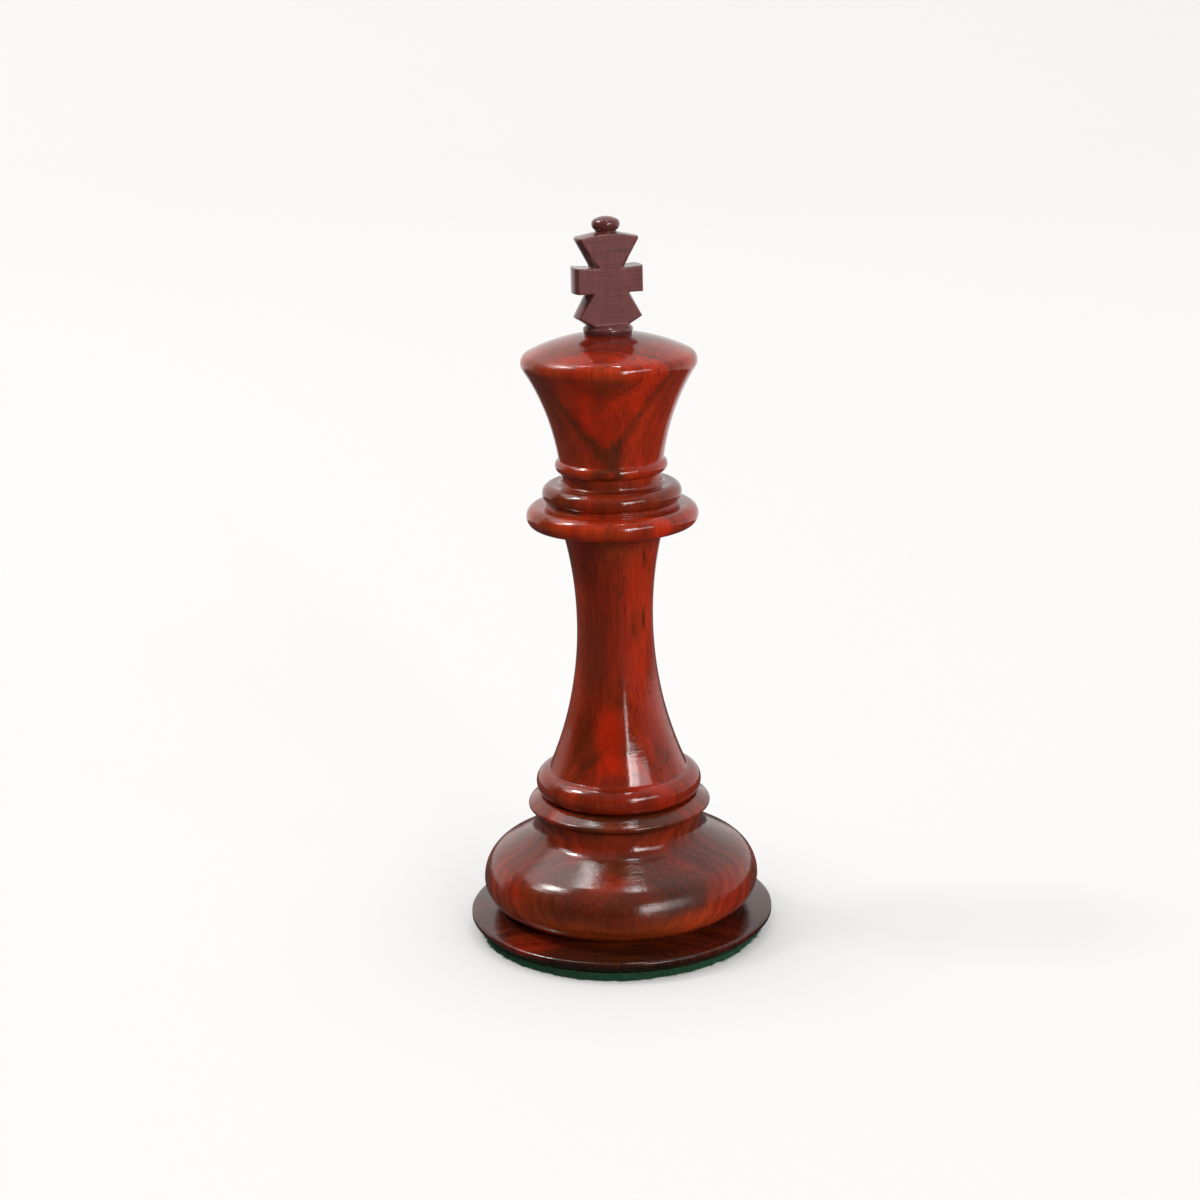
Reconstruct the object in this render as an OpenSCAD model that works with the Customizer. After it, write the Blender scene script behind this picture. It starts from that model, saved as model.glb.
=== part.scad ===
// Chess king of the classic tournament pattern.
// A turned base and body of wood, a sawn wooden cross, a hidden weight and a felt foot.
// All sizes are in millimetres, Z is up and the king stands on Z = 0.
// The flat faces of the cross look along Y and its arms lie along X.

/* [Felt foot] */
// Radius of the felt disc glued under the base
felt_r = 21.7; // [18:0.1:21.8]
// Thickness of the felt disc
felt_t = 1.1; // [0.5:0.1:3]

/* [Plinth of the base] */
// Radius of the flat underside
plinth_foot_r = 21.9; // [20.5:0.1:23]
// Radius of the thin rim, the widest of the whole king
plinth_r = 23.1; // [22.5:0.1:26]
// Height of the undercut below the rim
plinth_undercut_h = 1.3; // [0.6:0.1:3]
// Height of the upright rim
plinth_rim_h = 0.75; // [0.5:0.05:3]
// Size of the eased upper edge of the rim
plinth_ease = 0.2; // [0.05:0.05:0.5]
// Rise of the dished top from the rim to the groove under the bulb
plinth_rise = 0.9; // [0.4:0.1:2]

/* [Bulb of the base] */
// Largest radius of the bulb
bulb_r = 20.95; // [19.5:0.05:22]
// Radius of the curve that tucks the bulb in below its widest place
bulb_low_round = 3.8; // [3:0.1:5]
// Height from the groove up to the widest place
bulb_low_h = 4.2; // [3.6:0.1:5]
// Radius of the curve above the widest place
bulb_top_round = 5.4; // [3:0.1:7]
// Slope of the straight shoulder, measured from level
shoulder_slope = 30; // [24:1:40]
// Radius of the cove between the shoulder and the neck
cove_round = 2.6; // [1:0.1:4]

/* [Lower ring of the base] */
// Radius of the neck under the ring
neck_r = 12.6; // [11:0.1:13]
// Height of the upright part of the neck
neck_h = 1.3; // [0.2:0.1:3]
// Largest radius of the ring
ring_r = 13.8; // [13.6:0.1:16]
// Radius of the ring's nose
ring_nose = 0.45; // [0.3:0.05:0.6]
// Slope of the ring's underside, measured from level
ring_under_slope = 35; // [15:1:50]
// Slope of the ring's upper face, measured from level
ring_top_slope = 33; // [20:1:50]
// Radius at which the ring's upper face ends, at the joint with the body
ring_top_r = 12; // [11.5:0.1:13]

/* [Joint of base and body] */
// Radius of the body's tenon
tenon_r = 6; // [4:0.1:8]
// Length of the tenon
tenon_h = 6; // [3:0.1:7]
// Room left below the tenon for glue
tenon_end_gap = 0.4; // [0.2:0.1:1]

/* [Upper bead of the body] */
// Largest radius of the bead
bead_r = 12.5; // [11.5:0.1:14]
// Radius of the bead's round section
bead_round = 2.1; // [1.8:0.05:2.4]
// Height of the bead, from the joint to the foot of the stem
bead_h = 4.05; // [3.4:0.05:5]
// Height of the bead's widest place above the joint
bead_mid_h = 2.05; // [1.6:0.05:2.3]

/* [Stem] */
// Radius of the stem at its waist
waist_r = 5.7; // [4.5:0.1:7]
// Radius of the long hollow curve of the stem
stem_sweep = 57; // [45:1:80]
// Height from the foot of the stem to its waist
stem_low_h = 23; // [18:0.5:24]
// Height from the waist to the collar
stem_top_h = 14.1; // [8:0.1:20]

/* [Collar] */
// Largest radius of the collar
collar_r = 12.75; // [12:0.05:15]
// Radius of the collar's nose
collar_nose = 1.6; // [1.2:0.1:2]
// Slope of the collar's underside, measured from level
collar_under_slope = 10; // [3:1:25]
// Slope of the collar's upper face, measured from level
collar_top_slope = 5; // [2:1:20]
// Radius of the short step that stands on the collar
step_r = 9.8; // [9.2:0.1:10.1]
// Height of that step
step_h = 0.45; // [0.2:0.05:1]

/* [Upper ring] */
// Largest radius of the upper ring
torus_r = 10.32; // [10.2:0.02:11.5]
// Radius of its round section
torus_round = 1.42; // [1.3:0.02:1.6]
// Height of the upper ring
torus_h = 2.6; // [2.1:0.05:2.6]
// Height of its widest place above the step
torus_mid_h = 1.2; // [1:0.05:1.3]

/* [Neck below the head] */
// Radius of the neck
collet_r = 7.45; // [6.5:0.05:7.7]
// Radius of the small cove at the foot of the neck
collet_cove = 0.6; // [0.3:0.05:0.8]
// Height of the neck, with its cove
collet_h = 1.85; // [1.2:0.05:4]

/* [Small bead below the head] */
// Largest radius of the small bead
fillet_r = 8.3; // [8.2:0.05:9.2]
// Radius of its round section
fillet_round = 1; // [0.9:0.05:1.3]
// Height of the small bead
fillet_h = 1.75; // [1.3:0.05:1.95]

/* [Head] */
// Radius at the foot of the head
head_foot_r = 7.75; // [7:0.05:8.1]
// Largest radius of the head, at its rim
head_r = 12.9; // [11.5:0.1:15]
// Height from the foot of the head to the middle of the rim
head_h = 14.4; // [11:0.1:18]
// Radius of the hollow curve of the head's side
head_sweep = 34; // [28:1:60]
// Radius of the rounded rim
head_rim_round = 1.6; // [0.8:0.05:2]
// Radius of the domed top
dome_round = 27; // [20:0.5:45]

/* [Cross finial] */
// Radius of the peg that is glued into the head
peg_r = 2.3; // [1.5:0.1:2.8]
// Length of the peg below the seat
peg_h = 8; // [4:0.5:12]
// Room left below the peg for glue
peg_end_gap = 0.4; // [0.2:0.1:1]
// Radius of the finial's foot, which sits in the dome
seat_r = 3.4; // [2.9:0.05:3.6]
// Depth to which that foot is let into the dome
seat_sink = 0.2; // [0.1:0.05:0.6]
// Height from the seat to the middle of the bead above the foot
seat_h = 0.85; // [0.8:0.05:3]
// Largest radius of that bead
foot_bead_r = 3.65; // [3.5:0.05:4.2]
// Radius of that bead's round section
foot_bead_round = 0.55; // [0.3:0.05:0.7]
// Radius of the groove between the bead and the cross
groove_r = 3.2; // [2.6:0.05:3.4]
// Height from the middle of the bead to the lower edge of the cross
groove_h = 0.8; // [0.5:0.05:1.5]
// Radius at the lower edge of the cross
skirt_foot_r = 3.3; // [3.25:0.05:4]
// Largest radius of the lower flare of the cross
skirt_r = 5; // [4.2:0.1:6]
// Height of the bevel below that largest radius
skirt_bevel_h = 1.1; // [0.5:0.1:2]
// Radius of the lower flare where it meets the arms
skirt_waist_r = 3.15; // [2.4:0.05:3.8]
// Height of the lower flare above its bevel
skirt_h = 3.5; // [2:0.1:5]
// Radius of the arms
arm_r = 5.2; // [4.8:0.05:7]
// Height of the arms at the middle
arm_h = 3.55; // [2:0.05:5]
// Rise of the arms' upper face towards their ends
arm_dish = 0.2; // [0.1:0.05:0.8]
// Radius of the upper flare where it leaves the arms
crown_waist_r = 2.5; // [2:0.05:3.2]
// Largest radius of the upper flare
crown_r = 4.65; // [3.6:0.05:6]
// Height of the upper flare
crown_h = 4; // [2:0.05:6]
// Height of the upright edge of the upper flare
crown_edge_h = 0.35; // [0.1:0.05:0.6]
// Rise of the sloping top of the upper flare to the button's neck
crown_rise = 0.7; // [0.5:0.1:2]
// Radius of the button's neck
button_neck_r = 1.5; // [1:0.05:1.7]
// Height from the sloping top to the middle of the button
button_mid_h = 1.06; // [0.9:0.01:2]
// Largest radius of the button
button_r = 2.06; // [1.8:0.01:2.5]
// Radius of the button's rounded edge
button_round = 0.9; // [0.6:0.05:1]
// Radius of the button's domed top
button_dome = 3.5; // [2.5:0.1:6]
// Thickness of the cross between its two sawn faces
cross_t = 4.1; // [3:0.1:4.6]

/* [Weight in the base] */
// Radius of the hole bored up from the underside
bore_r = 13; // [9:0.1:15]
// Height of the metal weight
weight_h = 8.5; // [4:0.1:9]
// Thickness of the plug that closes the hole
plug_t = 2.5; // [1.5:0.1:3]
// Room left above the weight
weight_end_gap = 0.3; // [0.1:0.1:1]

/* [Glue fits] */
// Room for glue all round each peg, tenon, weight and plug
glue_gap = 0.05; // [0.02:0.01:0.2]

/* [Hidden] */
$fn = 144;
// A little extra so that cuts pass right through
over = 1;
// How far a round stands proud of the straight lines that run into it, so that they cross cleanly
proud = 0.01;

// Where the underside of a nose leaves it at a slope, from the nose's middle height
function nose_low(c, nose, slope) = [c + (nose - proud) * sin(slope), -(nose - proud) * cos(slope)];
// Where the upper face of a nose leaves it at a slope, from the nose's middle height
function nose_high(c, nose, slope) = [c + (nose - proud) * sin(slope), (nose - proud) * cos(slope)];
// Radius of a hollow curve at a height from its narrowest place
function hollow_r(narrow, sweep, h) = narrow + sweep - sqrt(pow(sweep, 2) - pow(h, 2));
// The point at a distance from a towards b
function toward(a, b, distance) = a + (b - a) * distance / norm(b - a);
// The point at distance ra from a and rb from b, on the outer side
function meet(a, ra, b, rb) =
    let (d = norm(b - a), along = (pow(ra, 2) - pow(rb, 2) + pow(d, 2)) / (2 * d))
    let (u = (b - a) / d, out = sqrt(pow(ra, 2) - pow(along, 2)))
    a + u * along + [u[1], -u[0]] * out;
// Height below a nose's middle of the middle of a large ball that lies smoothly on the nose
function ball_drop(ball, nose, c) = sqrt(pow(ball - nose, 2) - pow(c, 2));

// Heights and radii of the base, from the felt upwards
z_wood = felt_t;
z_rim_low = z_wood + plinth_undercut_h;
z_rim_top = z_rim_low + plinth_rim_h;
z_groove = z_rim_top + plinth_rise;
z_bulb = z_groove + bulb_low_h;
bulb_low_c = bulb_r - bulb_low_round;
bulb_top_c = bulb_r - bulb_top_round;
turn = 90 - shoulder_slope;
shoulder_run = (bulb_r - neck_r - (bulb_top_round + cove_round) * (1 - cos(turn))) / sin(turn);
shoulder_r = bulb_top_c + (bulb_top_round - proud) * cos(turn);
z_shoulder = z_bulb + (bulb_top_round - proud) * sin(turn);
z_cove = z_bulb + bulb_top_round * sin(turn) + shoulder_run * cos(turn);
z_neck = z_cove + cove_round * sin(turn);
cove_c = neck_r + cove_round;
cove_foot_r = cove_c - cove_round * cos(turn);
z_ring_under = z_neck + neck_h;
ring_c = ring_r - ring_nose;
ring_low = nose_low(ring_c, ring_nose, ring_under_slope);
ring_high = nose_high(ring_c, ring_nose, ring_top_slope);
z_ring = z_ring_under + (ring_low[0] - neck_r) * tan(ring_under_slope) - ring_low[1];
z_joint = z_ring + ring_high[1] + (ring_high[0] - ring_top_r) * tan(ring_top_slope);

// Heights and radii of the body, from the joint upwards
z_bead = z_joint + bead_mid_h;
bead_c = bead_r - bead_round;
z_stem = z_joint + bead_h;
z_waist = z_stem + stem_low_h;
z_collar_under = z_waist + stem_top_h;
stem_top_r = hollow_r(waist_r, stem_sweep, stem_top_h);
collar_c = collar_r - collar_nose;
collar_low = nose_low(collar_c, collar_nose, collar_under_slope);
collar_high = nose_high(collar_c, collar_nose, collar_top_slope);
z_collar_in = z_collar_under - (stem_top_r - waist_r) * tan(collar_under_slope);
z_collar = z_collar_under + (collar_low[0] - stem_top_r) * tan(collar_under_slope) - collar_low[1];
z_step = z_collar + collar_high[1] + (collar_high[0] - step_r) * tan(collar_top_slope);
z_torus_low = z_step + step_h;
z_torus = z_torus_low + torus_mid_h;
torus_c = torus_r - torus_round;
z_collet = z_torus_low + torus_h;
collet_cove_c = collet_r + collet_cove;
z_collet_cove = z_collet + collet_cove;
z_fillet_low = z_collet + collet_h;
z_fillet = z_fillet_low + fillet_h / 2;
fillet_c = fillet_r - fillet_round;
z_head = z_fillet_low + fillet_h;
z_rim = z_head + head_h;
rim_c = head_r - head_rim_round;
flank = meet([head_foot_r, z_head], head_sweep, [rim_c, z_rim], head_sweep + head_rim_round);
rim_start = toward([rim_c, z_rim], flank, head_rim_round);
z_dome_c = z_rim - ball_drop(dome_round, head_rim_round, rim_c);
rim_end = toward([0, z_dome_c], [rim_c, z_rim], dome_round);

// Heights of the finial, from its seat in the dome upwards
z_seat = z_dome_c + sqrt(pow(dome_round, 2) - pow(seat_r, 2)) - seat_sink;
z_peg = z_seat - peg_h;
z_foot_bead = z_seat + seat_h;
z_skirt = z_foot_bead + groove_h;
z_skirt_wide = z_skirt + skirt_bevel_h;
z_arm = z_skirt_wide + skirt_h;
z_arm_top = z_arm + arm_h;
z_crown = z_arm_top + crown_h;
z_crown_edge = z_crown + crown_edge_h;
z_crown_top = z_crown_edge + crown_rise;
z_button = z_crown_top + button_mid_h;
button_c = button_r - button_round;
z_button_dome_c = z_button - ball_drop(button_dome, button_round, button_c);
button_end = toward([0, z_button_dome_c], [button_c, z_button], button_dome);

// Heights of the pieces inside the base
z_weight = z_wood + plug_t;
z_bore_top = z_weight + weight_h + weight_end_gap;

// Half section of a straight or tapered band of the turning
module band(z0, r0, z1, r1) {
    polygon([[0, z0], [r0, z0], [r1, z1], [0, z1]]);
}

// Half section of a full round, the nose of a bead or ring
module nose(c, z, round_r) {
    translate([c, z]) circle(r = round_r);
}

// Half section of a hollow band: a round cut into the band, with its middle at (c, z)
module hollow(z0, z1, c, z, round_r) {
    difference() {
        band(z0, c, z1, c);
        nose(c, z, round_r + proud);
    }
}

// Half section of a domed top: the part of a large ball above a height
module dome(z0, z, ball_r) {
    intersection() {
        band(z0, ball_r, z + ball_r + over, ball_r);
        nose(0, z, ball_r - proud);
    }
}

// Half section of the base: plinth, bulb, shoulder and cove, then neck and ring
module base_section() {
    polygon([[0, z_wood], [plinth_foot_r, z_wood], [plinth_r, z_rim_low],
        [plinth_r, z_rim_top - plinth_ease], [plinth_r - plinth_ease, z_rim_top],
        [bulb_low_c, z_groove], [bulb_low_c, z_bulb], [0, z_bulb]]);
    nose(bulb_low_c, z_bulb, bulb_low_round);
    intersection() {
        band(z_bulb, bulb_r + over, z_neck, bulb_r + over);
        nose(bulb_top_c, z_bulb, bulb_top_round);
    }
    difference() {
        polygon([[0, z_rim_top], [bulb_low_c, z_groove], [bulb_top_c, z_bulb], [shoulder_r, z_shoulder],
            [cove_foot_r, z_cove], [cove_c, z_cove], [cove_c, z_neck], [0, z_neck]]);
        nose(cove_c, z_neck, cove_round + proud);
    }
    polygon([[0, z_cove], [neck_r, z_cove], [neck_r, z_ring_under], [ring_low[0], z_ring + ring_low[1]],
        [ring_high[0], z_ring + ring_high[1]], [ring_top_r, z_joint], [0, z_joint]]);
    nose(ring_c, z_ring, ring_nose);
}

// Half section of the body, without its tenon and socket
module body_section() {
    band(z_joint, bead_c, z_stem, bead_c);
    intersection() {
        band(z_joint, bead_r + over, z_waist, bead_r + over);
        nose(bead_c, z_bead, bead_round);
    }
    hollow(z_bead, z_collar, waist_r + stem_sweep, z_waist, stem_sweep);
    polygon([[0, z_collar_in], [waist_r, z_collar_in], [collar_low[0], z_collar + collar_low[1]],
        [collar_high[0], z_collar + collar_high[1]], [step_r, z_step], [step_r, z_torus_low],
        [0, z_torus_low]]);
    nose(collar_c, z_collar, collar_nose);
    band(z_collar, torus_c, z_torus, torus_c);
    nose(torus_c, z_torus, torus_round);
    hollow(z_torus, z_collet_cove, collet_cove_c, z_collet_cove, collet_cove);
    band(z_collar, collet_r, z_fillet, collet_r);
    nose(fillet_c, z_fillet, fillet_round);
    hollow(z_fillet, rim_start[1], flank[0], flank[1], head_sweep);
    band(z_head, head_foot_r - over, z_rim + head_rim_round, rim_c);
    nose(rim_c, z_rim, head_rim_round);
    dome(rim_end[1], z_dome_c, dome_round);
}

// Half section of the finial before its faces are sawn flat
module finial_section() {
    polygon([[0, z_peg], [peg_r, z_peg], [peg_r, z_seat], [seat_r, z_seat], [seat_r, z_foot_bead],
        [groove_r, z_foot_bead], [groove_r, z_skirt], [skirt_foot_r, z_skirt], [skirt_r, z_skirt_wide],
        [skirt_waist_r, z_arm], [arm_r, z_arm], [arm_r, z_arm_top + arm_dish], [crown_waist_r, z_arm_top],
        [crown_r, z_crown], [crown_r, z_crown_edge], [button_neck_r, z_crown_top],
        [button_neck_r, z_button], [0, z_button]]);
    nose(foot_bead_r - foot_bead_round, z_foot_bead, foot_bead_round);
    nose(button_c, z_button, button_round);
    band(z_crown_top, button_c, z_button + button_round, button_c);
    dome(button_end[1], z_button_dome_c, button_dome);
}

module felt_pad() {
    color("darkgreen") cylinder(r = felt_r, h = felt_t);
}

module base() {
    color("saddlebrown") difference() {
        rotate_extrude() base_section();
        translate([0, 0, z_wood - over]) cylinder(r = bore_r, h = z_bore_top - z_wood + over);
        translate([0, 0, z_joint - tenon_h - tenon_end_gap])
            cylinder(r = tenon_r + glue_gap, h = tenon_h + tenon_end_gap + over);
    }
}

module base_weight() {
    color("gray") translate([0, 0, z_weight]) cylinder(r = bore_r - glue_gap, h = weight_h);
}

module weight_plug() {
    color("tan") translate([0, 0, z_wood]) cylinder(r = bore_r - glue_gap, h = plug_t);
}

module body() {
    color("firebrick") difference() {
        union() {
            rotate_extrude() body_section();
            translate([0, 0, z_joint - tenon_h]) cylinder(r = tenon_r, h = tenon_h + over);
        }
        translate([0, 0, z_peg - peg_end_gap])
            cylinder(r = peg_r + glue_gap, h = peg_h + peg_end_gap + over);
        translate([0, 0, z_seat]) cylinder(r = seat_r + glue_gap, h = dome_round);
    }
}

module cross_finial() {
    color("sienna") difference() {
        rotate_extrude() finial_section();
        for (side = [-1, 1])
            translate([0, side * (cross_t / 2 + arm_r), (z_skirt + z_crown_top) / 2])
                cube([4 * arm_r, 2 * arm_r, z_crown_top - z_skirt], center = true);
    }
}

felt_pad();
base();
base_weight();
weight_plug();
body();
cross_finial();
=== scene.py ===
import math

import bmesh
import bpy
from mathutils import Matrix, Vector


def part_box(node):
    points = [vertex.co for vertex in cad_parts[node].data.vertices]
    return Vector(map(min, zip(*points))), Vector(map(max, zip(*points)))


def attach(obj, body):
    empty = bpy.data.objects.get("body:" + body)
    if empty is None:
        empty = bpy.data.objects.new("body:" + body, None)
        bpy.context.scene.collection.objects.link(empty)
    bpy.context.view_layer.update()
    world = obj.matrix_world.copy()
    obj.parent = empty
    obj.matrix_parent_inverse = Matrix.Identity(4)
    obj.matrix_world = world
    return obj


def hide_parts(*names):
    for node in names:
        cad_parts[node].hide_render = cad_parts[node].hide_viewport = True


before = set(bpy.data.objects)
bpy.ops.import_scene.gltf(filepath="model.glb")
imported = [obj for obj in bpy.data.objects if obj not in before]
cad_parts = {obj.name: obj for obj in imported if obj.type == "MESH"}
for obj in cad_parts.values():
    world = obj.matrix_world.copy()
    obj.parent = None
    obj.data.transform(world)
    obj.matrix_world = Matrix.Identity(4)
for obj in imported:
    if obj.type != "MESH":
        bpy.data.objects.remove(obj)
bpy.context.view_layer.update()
mm = 0.001
perMm = (1000, 1000, 1000)      # scale that turns a piece's metres into mm
mergeGap = 1e-7                 # points closer than this become one, m
print("frame loaded:", ", ".join(sorted(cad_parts)))


# small helpers for node trees

def place(tree, kind, settings=None, sockets=None):
    node = tree.nodes.new(kind)
    for name, value in (settings or {}).items():
        setattr(node, name, value)
    for key, value in (sockets or {}).items():
        if isinstance(value, bpy.types.NodeSocket):
            tree.links.new(value, node.inputs[key])
        else:
            node.inputs[key].default_value = value
    return node


def calc(tree, operation, a, b=0.0, clamp=False):
    node = place(tree, "ShaderNodeMath", {"operation": operation, "use_clamp": clamp}, {0: a, 1: b})
    return node.outputs[0]


def vectorCalc(tree, operation, a, b=(0.0, 0.0, 0.0)):
    outputs = place(tree, "ShaderNodeVectorMath", {"operation": operation}, {0: a, 1: b}).outputs
    return outputs["Value"] if operation == "LENGTH" else outputs[0]


def scaleVector(tree, vector, factor):
    node = place(tree, "ShaderNodeVectorMath", {"operation": "SCALE"}, {0: vector, "Scale": factor})
    return node.outputs[0]


def splitXyz(tree, vector):
    return place(tree, "ShaderNodeSeparateXYZ", None, {0: vector}).outputs


def joinXyz(tree, x, y, z=0.0):
    return place(tree, "ShaderNodeCombineXYZ", None, {"X": x, "Y": y, "Z": z}).outputs[0]


def seededNoise(tree, where, seed, scale, detail, roughness=0.5):
    return place(tree, "ShaderNodeTexNoise", {"noise_dimensions": "4D"}, {
        "Vector": where, "W": seed, "Scale": scale, "Detail": detail, "Roughness": roughness}).outputs[0]


# noise runs from 0 to 1, and this puts its middle at 0
def aboutZero(tree, noise):
    return calc(tree, "SUBTRACT", noise, 0.5)


def spread(tree, value, low, high, atLow, atHigh, soft=False):
    kind = "SMOOTHSTEP" if soft else "LINEAR"
    return place(tree, "ShaderNodeMapRange", {"interpolation_type": kind}, {
        "Value": value, "From Min": low, "From Max": high, "To Min": atLow, "To Max": atHigh}).outputs[0]


def newTree(name, kind, inputs, outputs):
    tree = bpy.data.node_groups.new(name, kind)
    for label, value, default in inputs:
        socket = tree.interface.new_socket(label, in_out="INPUT", socket_type="NodeSocket" + value)
        if default is not None:
            socket.default_value = default
    for label, value in outputs:
        tree.interface.new_socket(label, in_out="OUTPUT", socket_type="NodeSocket" + value)
    return tree, tree.nodes.new("NodeGroupInput").outputs, tree.nodes.new("NodeGroupOutput").inputs


def newObject(name, data):
    obj = bpy.data.objects.new(name, data)
    bpy.context.scene.collection.objects.link(obj)
    return obj


# runs the piece's modifiers, keeps the result as its plain mesh and turns the faces outwards
def settle(obj):
    bpy.context.view_layer.update()
    graph = bpy.context.evaluated_depsgraph_get()
    mesh = bpy.data.meshes.new_from_object(obj.evaluated_get(graph))
    obj.modifiers.clear()
    obj.data = mesh
    mesh.name = obj.name
    shape = bmesh.new()
    shape.from_mesh(mesh)
    bmesh.ops.remove_doubles(shape, verts=shape.verts, dist=mergeGap)
    bmesh.ops.dissolve_degenerate(shape, edges=shape.edges, dist=mergeGap)
    bmesh.ops.recalc_face_normals(shape, faces=shape.faces)
    for face in shape.faces:
        face.smooth = True
    shape.to_mesh(mesh)
    shape.free()
    print("settled", obj.name, len(mesh.polygons), "faces")
    return obj


# camera, at the photograph's viewing angle

cameraView = {
    "focalPx": 2359.0,      # focal length in pixels of the frame
    "framePx": 1200.0,
    "sensorMm": 36.0,
    "distance": 339.0,      # level distance from the king's axis, mm
    "height": 146.0,        # above the king's foot, mm
    "azimuth": 16.6,        # degrees round from the flat face of the cross, to its left
    "pitch": 15.55,         # degrees down
    "pan": -0.365,
    "roll": 1.475,
    "nearest": 0.01,        # m
    "farthest": 50.0,
}


def makeCamera(v):
    turn, pitch, roll = (math.radians(v[k]) for k in ("azimuth", "pitch", "roll"))
    heading = math.radians(v["pan"]) + turn
    forward = Vector((math.sin(heading) * math.cos(pitch), math.cos(heading) * math.cos(pitch),
                      -math.sin(pitch)))
    right = forward.cross(Vector((0, 0, 1))).normalized()
    down = forward.cross(right)
    tiltedRight = right * math.cos(roll) + down * math.sin(roll)
    tiltedDown = down * math.cos(roll) - right * math.sin(roll)
    data = bpy.data.cameras.new("photoCamera")
    data.sensor_width = v["sensorMm"]
    data.lens = data.sensor_width * v["focalPx"] / v["framePx"]
    data.clip_start = v["nearest"]
    data.clip_end = v["farthest"]
    cam = newObject("photoCamera", data)
    turned = Matrix((tiltedRight, -tiltedDown, -forward)).transposed().to_4x4()
    level = Vector((-math.sin(turn), -math.cos(turn), 0)) * v["distance"]
    stand = level + Vector((0, 0, v["height"]))
    cam.matrix_world = Matrix.Translation(stand * mm) @ turned
    bpy.context.scene.camera = cam


makeCamera(cameraView)
print("camera placed")


# the turner's path: points (radius, height) in mm, from the axis round to the axis again

def arc(centre, radius, start, end, stepMm=0.25, fewest=4, widest=6):
    span = math.radians(end - start)
    steps = max(fewest, int(abs(span) * radius / stepMm), int(abs(end - start) / widest))
    angles = [math.radians(start) + span * i / steps for i in range(steps + 1)]
    return [(centre[0] + radius * math.cos(a), centre[1] + radius * math.sin(a)) for a in angles]


# each corner that turns sharply becomes a small curve, as sanding and lacquer leave it
def easeCorners(path, size, leastTurn=18, share=0.45, steps=4, nothing=1e-6):
    eased = [path[0]]
    for before, here, after in zip(path, path[1:], path[2:]):
        a = Vector(before) - Vector(here)
        b = Vector(after) - Vector(here)
        if a.length < nothing or b.length < nothing:
            continue
        if math.degrees(math.pi - a.angle(b)) < leastTurn:
            eased.append(here)
            continue
        start = Vector(here) + a * min(size, a.length * share) / a.length
        end = Vector(here) + b * min(size, b.length * share) / b.length
        for t in (k / steps for k in range(steps + 1)):
            eased.append(tuple(start * (1 - t) ** 2 + Vector(here) * 2 * t * (1 - t) + end * t * t))
    return eased + [path[-1]]


def fillPath(path, longest=0.6):
    filled = [path[0]]
    for a, b in zip(path, path[1:]):
        count = max(1, math.ceil(math.dist(a, b) / longest))
        filled += [(a[0] + (b[0] - a[0]) * i / count, a[1] + (b[1] - a[1]) * i / count)
                   for i in range(1, count + 1)]
    return filled


# one lathe for both turned pieces: a piece's own mesh is the path, and the tree swings it round the axis

def latheTree():
    tree, given, result = newTree("turnOnLathe", "GeometryNodeTree", [
        ("Path", "Geometry", None), ("Sides", "Int", 128),
        ("Ripple", "Float", 0.0), ("Ripple Size", "Float", 0.01),
        ("Seed", "Float", 0.0), ("Finish", "Material", None)],
        [("Piece", "Geometry")])
    length = place(tree, "GeometryNodeAttributeDomainSize", None, {0: given["Path"]}).outputs["Point Count"]
    around = calc(tree, "ADD", given["Sides"], 1.0)
    grid = place(tree, "GeometryNodeMeshGrid", None, {"Vertices X": length, "Vertices Y": around})
    index = place(tree, "GeometryNodeInputIndex").outputs[0]
    midIndex = calc(tree, "ADD", index, 0.5)        # half a step on, so that rounding can't slip a row
    row = calc(tree, "FLOOR", calc(tree, "DIVIDE", midIndex, around))
    column = calc(tree, "SUBTRACT", index, calc(tree, "MULTIPLY", row, around))
    angle = calc(tree, "DIVIDE", calc(tree, "MULTIPLY", column, math.tau), given["Sides"])
    here = place(tree, "GeometryNodeInputPosition").outputs[0]
    onPath = place(tree, "GeometryNodeSampleIndex", {"data_type": "FLOAT_VECTOR", "domain": "POINT"},
                   {"Geometry": given["Path"], "Value": here, "Index": row})
    split = splitXyz(tree, onPath.outputs[0])
    swung = joinXyz(tree, calc(tree, "MULTIPLY", split["X"], calc(tree, "COSINE", angle)),
                    calc(tree, "MULTIPLY", split["X"], calc(tree, "SINE", angle)), split["Z"])
    turned = place(tree, "GeometryNodeSetPosition", None,
                   {"Geometry": grid.outputs["Mesh"], "Position": swung})
    closed = place(tree, "GeometryNodeMergeByDistance", None,
                   {"Geometry": turned.outputs[0], "Distance": mergeGap})
    noise = seededNoise(tree, here, given["Seed"], calc(tree, "DIVIDE", 1.0, given["Ripple Size"]), 1.0)
    lift = calc(tree, "MULTIPLY", aboutZero(tree, noise), given["Ripple"])
    move = scaleVector(tree, place(tree, "GeometryNodeInputNormal").outputs[0], lift)
    rippled = place(tree, "GeometryNodeSetPosition", None, {"Geometry": closed.outputs[0], "Offset": move})
    whole = place(tree, "GeometryNodeRealizeInstances", None, {0: rippled.outputs[0]})
    finished = place(tree, "GeometryNodeSetMaterial", None,
                     {"Geometry": whole.outputs[0], "Material": given["Finish"]})
    tree.links.new(finished.outputs[0], result[0])
    return tree


def applyTree(obj, tree, values):
    modifier = obj.modifiers.new(tree.name, "NODES")
    modifier.node_group = tree
    for item in tree.interface.items_tree:
        if item.in_out == "INPUT" and item.name in values:
            modifier[item.identifier] = values[item.name]
    return settle(obj)


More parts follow.
